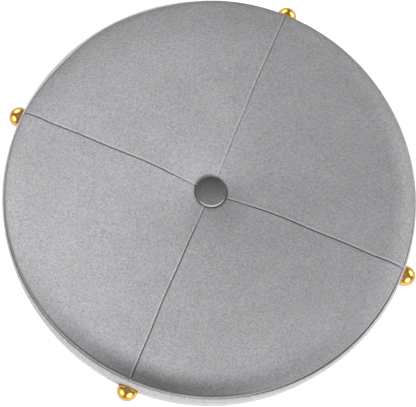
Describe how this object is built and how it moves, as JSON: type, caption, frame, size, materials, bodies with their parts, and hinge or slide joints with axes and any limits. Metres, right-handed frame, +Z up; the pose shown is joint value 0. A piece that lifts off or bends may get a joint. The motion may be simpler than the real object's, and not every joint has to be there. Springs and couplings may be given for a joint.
{
  "type": "storage ottoman",
  "caption": "Round velvet ottoman: a padded, tufted lid lifts off a tapered storage tub that stands on slim gold legs with ball finials.",
  "frame": {"origin": "on the floor under the middle of the tub", "axes": "+Z up; the legs and the lid's seams stand on +X, +Y, -X and -Y"},
  "size_m": [0.4364, 0.4364, 0.416],
  "materials": {
    "velvet": "matte",
    "button_velvet": "matte",
    "foam": "matte",
    "plywood": "satin",
    "lining": "matte",
    "dust_cloth": "matte",
    "gold": "polished",
    "steel": "satin",
    "twine": "matte",
    "rubber": "matte"
  },
  "bodies": {
    "tub": {"drum_cover": "velvet", "drum_foam_1": "foam", "drum_foam_2": "foam", "drum_foam_3": "foam", "drum_foam_4": "foam", "base_board": "plywood", "rim_segment_1": "plywood", "rim_segment_2": "plywood", "rim_segment_3": "plywood", "rim_segment_4": "plywood", "drum_wall_1": "plywood", "drum_wall_2": "plywood", "drum_wall_3": "plywood", "drum_wall_4": "plywood", "liner_wall": "lining", "liner_floor": "lining", "dust_cover": "dust_cloth", "leg_post_1": "gold", "leg_post_2": "gold", "leg_post_3": "gold", "leg_post_4": "gold", "ball_finial_1": "gold", "ball_finial_2": "gold", "ball_finial_3": "gold", "ball_finial_4": "gold", "leg_bolt_1": "steel", "leg_bolt_2": "steel", "leg_bolt_3": "steel", "leg_bolt_4": "steel", "leg_bolt_5": "steel", "leg_bolt_6": "steel", "leg_bolt_7": "steel", "leg_bolt_8": "steel", "leg_glide_1": "rubber", "leg_glide_2": "rubber", "leg_glide_3": "rubber", "leg_glide_4": "rubber"},
    "lid": {"lid_panel_1": "velvet", "lid_panel_2": "velvet", "lid_panel_3": "velvet", "lid_panel_4": "velvet", "lid_foam": "foam", "lid_board": "plywood", "lid_liner": "lining", "button_cover": "button_velvet", "button_former": "steel", "tuft_cord": "twine", "tuft_washer": "steel"}
  },
  "joints": [
    {"name": "lid_lift", "type": "slide", "parent": "tub", "child": "lid", "axis": [0, 0, 1], "range_m": [0, 0.3]}
  ]
}
